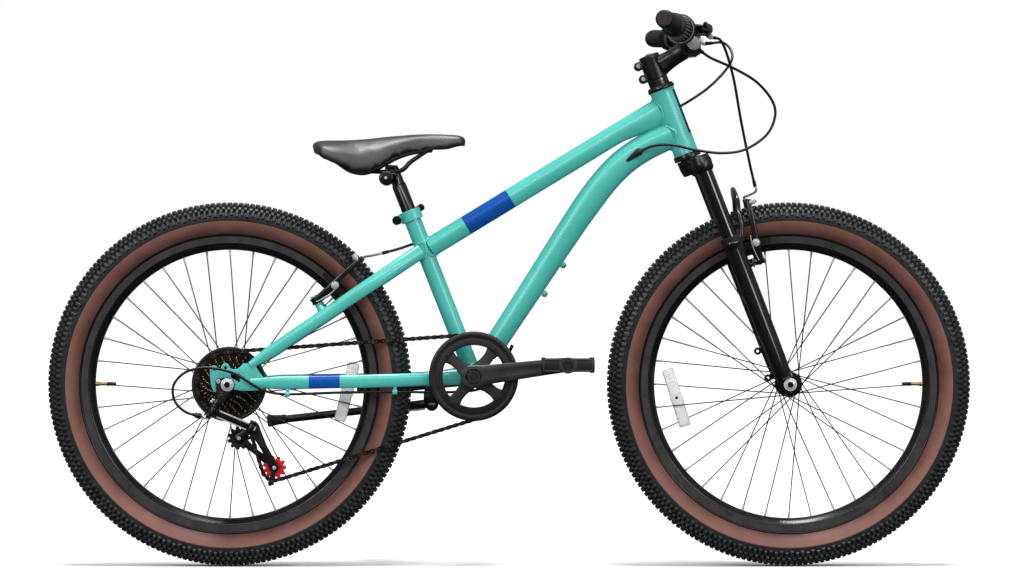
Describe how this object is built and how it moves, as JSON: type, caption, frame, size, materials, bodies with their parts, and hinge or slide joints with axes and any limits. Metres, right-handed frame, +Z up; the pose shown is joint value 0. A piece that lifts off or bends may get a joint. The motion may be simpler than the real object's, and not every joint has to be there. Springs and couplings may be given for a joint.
{
  "type": "fat tire bike",
  "caption": "Child's fat-tyred bicycle with a sprung front fork, rim brakes, twist-grip gear change, folding kickstand and height-adjustable saddle.",
  "frame": {"origin": "on the ground, midway between the two axles, on the centre plane", "axes": "+X towards the front wheel, +Y towards the rider's left, +Z up"},
  "size_m": [1.624, 0.6276, 0.9631],
  "materials": {
    "frame_paint": "gloss mint-green enamel",
    "black_metal": "satin black coat",
    "black_plastic": "satin black",
    "black_rubber": "matt black",
    "tyre": "matt black tread with brown sides",
    "bright_metal": "bright plating",
    "brown_steel": "browned and oiled",
    "red_plastic": "gloss red",
    "saddle_cover": "satin black grain",
    "rims": "black with bright machined sides"
  },
  "bodies": {
    "frame": {"bottom_bracket_shell": "frame_paint", "chain": "brown_steel", "chainstay_left": "frame_paint", "chainstay_right": "frame_paint", "derailleur_body": "black_metal", "down_tube": "frame_paint", "head_tube": "frame_paint", "kickstand_bracket": "black_metal", "rear_axle": "bright_metal", "rear_brake_cable": "black_plastic", "seat_clamp": "frame_paint", "seat_tube": "frame_paint", "seatstay_left": "frame_paint", "seatstay_right": "frame_paint", "shift_cable_front": "black_plastic", "shift_cable_rear": "black_plastic", "top_tube": "frame_paint"},
    "steering": {"fork_crown": "black_metal", "front_brake_cable": "black_plastic", "grip_left": "black_rubber", "grip_right": "black_rubber", "handlebar": "black_metal", "lever_bracket_left": "black_metal", "lever_bracket_right": "black_metal", "steerer_spacer": "black_metal", "stem": "black_metal"},
    "fork_lowers": {"fork_lowers": "black_metal", "front_axle": "bright_metal"},
    "front_wheel": {"front_hub_and_spokes": "black_metal", "front_rim": "rims", "front_tyre": "tyre"},
    "rear_wheel": {"rear_hub_and_spokes": "black_metal", "rear_rim": "rims", "rear_tyre": "tyre", "spoke_protector": "black_plastic"},
    "freewheel": {"freewheel": "brown_steel"},
    "crank": {"bottom_bracket_spindle": "bright_metal", "chainguard": "black_plastic", "chainring": "black_metal", "crank_left": "black_metal", "crank_right": "black_metal"},
    "pedal_right": {"pedal_right": "black_plastic"},
    "front_brake_right": {"front_brake_arm_right": "black_metal"},
    "rear_brake_right": {"rear_brake_arm_right": "black_metal"},
    "brake_lever_right": {"brake_lever_right": "black_metal"},
    "pedal_left": {"pedal_left": "black_plastic"},
    "front_brake_left": {"front_brake_arm_left": "black_metal"},
    "rear_brake_left": {"rear_brake_arm_left": "black_metal"},
    "brake_lever_left": {"brake_lever_left": "black_metal"},
    "shifter": {"twist_shifter": "black_rubber"},
    "seatpost": {"saddle": "saddle_cover", "saddle_rails": "black_metal", "seatpost": "black_metal"},
    "seat_lever": {"seat_clamp_lever": "black_metal"},
    "derailleur_link": {"derailleur_link": "black_metal"},
    "derailleur_knuckle": {"derailleur_knuckle": "black_metal"},
    "derailleur_cage": {"derailleur_cage": "black_metal"},
    "jockey_upper": {"jockey_upper": "black_plastic"},
    "jockey_lower": {"jockey_lower": "red_plastic"},
    "kickstand": {"kickstand_leg": "black_metal"}
  },
  "joints": [
    {"name": "steering_turn", "type": "hinge", "parent": "frame", "child": "steering", "pos_m": [0.31197, 0, 0.72601], "axis": [-0.36, 0, 0.933], "range_deg": [-60, 60], "deforming": ["rear_brake_cable", "shift_cable_front"]},
    {"name": "fork_travel", "type": "slide", "parent": "steering", "child": "fork_lowers", "axis": [-0.36, 0, 0.933], "range_m": [0, 0.05], "stiffness_N_per_m": 9000, "springref_m": -0.012, "deforming": ["front_brake_cable"]},
    {"name": "front_wheel_spin", "type": "hinge", "parent": "fork_lowers", "child": "front_wheel", "pos_m": [0.492, 0, 0.32], "axis": [0, 1, 0], "continuous": true},
    {"name": "rear_wheel_spin", "type": "hinge", "parent": "frame", "child": "rear_wheel", "pos_m": [-0.492, 0, 0.32], "axis": [0, 1, 0], "continuous": true},
    {"name": "crank_spin", "type": "hinge", "parent": "frame", "child": "crank", "pos_m": [-0.06194, 0, 0.3345], "axis": [0, 1, 0], "continuous": true},
    {"name": "pedal_right_spin", "type": "hinge", "parent": "crank", "child": "pedal_right", "pos_m": [0.10172, -0.0895, 0.35547], "axis": [0, 1, 0], "continuous": true},
    {"name": "pedal_left_spin", "type": "hinge", "parent": "crank", "child": "pedal_left", "pos_m": [-0.22561, 0.0895, 0.31353], "axis": [0, 1, 0], "continuous": true},
    {"name": "freewheel_spin", "type": "hinge", "parent": "frame", "child": "freewheel", "pos_m": [-0.492, 0, 0.32], "axis": [0, 1, 0], "continuous": true},
    {"name": "brake_lever_right_pull", "type": "hinge", "parent": "steering", "child": "brake_lever_right", "pos_m": [0.33761, -0.116, 0.93587], "axis": [0, 0, -1], "range_deg": [0, 13], "stiffness_Nm_per_rad": 2, "springref_deg": -5.73},
    {"name": "brake_lever_left_pull", "type": "hinge", "parent": "steering", "child": "brake_lever_left", "pos_m": [0.33131, 0.146, 0.93767], "axis": [0, 0, 1], "range_deg": [0, 13], "stiffness_Nm_per_rad": 2, "springref_deg": -5.73},
    {"name": "front_brake_right_turn", "type": "hinge", "parent": "fork_lowers", "child": "front_brake_right", "pos_m": [0.43441, -0.041, 0.53648], "axis": [-0.933, 0, -0.36], "range_deg": [0, 2.46]},
    {"name": "front_brake_left_turn", "type": "hinge", "parent": "fork_lowers", "child": "front_brake_left", "pos_m": [0.43441, 0.041, 0.53648], "axis": [0.933, 0, 0.36], "range_deg": [0, 2.46]},
    {"name": "rear_brake_right_turn", "type": "hinge", "parent": "frame", "child": "rear_brake_right", "pos_m": [-0.33527, -0.041, 0.4617], "axis": [-0.5593, 0, 0.829], "range_deg": [0, 1.86]},
    {"name": "rear_brake_left_turn", "type": "hinge", "parent": "frame", "child": "rear_brake_left", "pos_m": [-0.33527, 0.041, 0.4617], "axis": [0.5593, 0, -0.829], "range_deg": [0, 1.86]},
    {"name": "shifter_twist", "type": "hinge", "parent": "steering", "child": "shifter", "pos_m": [0.29479, -0.158, 0.93639], "axis": [-0.2052, -0.977, 0.0586], "range_deg": [0, 100]},
    {"name": "derailleur_link_turn", "type": "hinge", "parent": "frame", "child": "derailleur_link", "pos_m": [-0.517, -0.088, 0.274], "axis": [0.4191, 0, 0.908], "range_deg": [-24, 0], "deforming": ["chain"]},
    {"name": "derailleur_knuckle_turn", "type": "hinge", "parent": "derailleur_link", "child": "derailleur_knuckle", "pos_m": [-0.452, -0.052, 0.244], "axis": [0.4191, 0, 0.908], "range_deg": [0, 24], "deforming": ["chain"]},
    {"name": "derailleur_cage_turn", "type": "hinge", "parent": "derailleur_knuckle", "child": "derailleur_cage", "pos_m": [-0.448, -0.04, 0.244], "axis": [0, 1, 0], "range_deg": [-15, 35], "stiffness_Nm_per_rad": 0.6, "deforming": ["chain"]},
    {"name": "upper_jockey_spin", "type": "hinge", "parent": "derailleur_cage", "child": "jockey_upper", "pos_m": [-0.4741, -0.03, 0.2256], "axis": [0, 1, 0], "continuous": true},
    {"name": "lower_jockey_spin", "type": "hinge", "parent": "derailleur_cage", "child": "jockey_lower", "pos_m": [-0.4118, -0.03, 0.1736], "axis": [0, 1, 0], "continuous": true},
    {"name": "seat_height", "type": "slide", "parent": "frame", "child": "seatpost", "axis": [-0.3665, 0, 0.9304], "range_m": [-0.045, 0.045]},
    {"name": "seat_lever_open", "type": "hinge", "parent": "frame", "child": "seat_lever", "pos_m": [-0.19755, 0.02, 0.60782], "axis": [-0.3665, 0, 0.9304], "range_deg": [0, 135]},
    {"name": "kickstand_fold", "type": "hinge", "parent": "frame", "child": "kickstand", "pos_m": [-0.13674, 0.05, 0.285], "axis": [0, -0.9936, -0.1132], "range_deg": [0, 108]}
  ],
  "couplings": [
    {"joint": "freewheel_spin", "follows": "crank_spin", "ratio": 1.2857},
    {"joint": "upper_jockey_spin", "follows": "crank_spin", "ratio": -3.2727},
    {"joint": "lower_jockey_spin", "follows": "crank_spin", "ratio": 3.2727},
    {"joint": "front_brake_right_turn", "follows": "brake_lever_right_pull", "ratio": 0.1892},
    {"joint": "front_brake_left_turn", "follows": "brake_lever_right_pull", "ratio": 0.1892},
    {"joint": "rear_brake_right_turn", "follows": "brake_lever_left_pull", "ratio": 0.143},
    {"joint": "rear_brake_left_turn", "follows": "brake_lever_left_pull", "ratio": 0.143},
    {"joint": "derailleur_link_turn", "follows": "shifter_twist", "ratio": -0.226},
    {"joint": "derailleur_knuckle_turn", "follows": "shifter_twist", "ratio": 0.226}
  ]
}
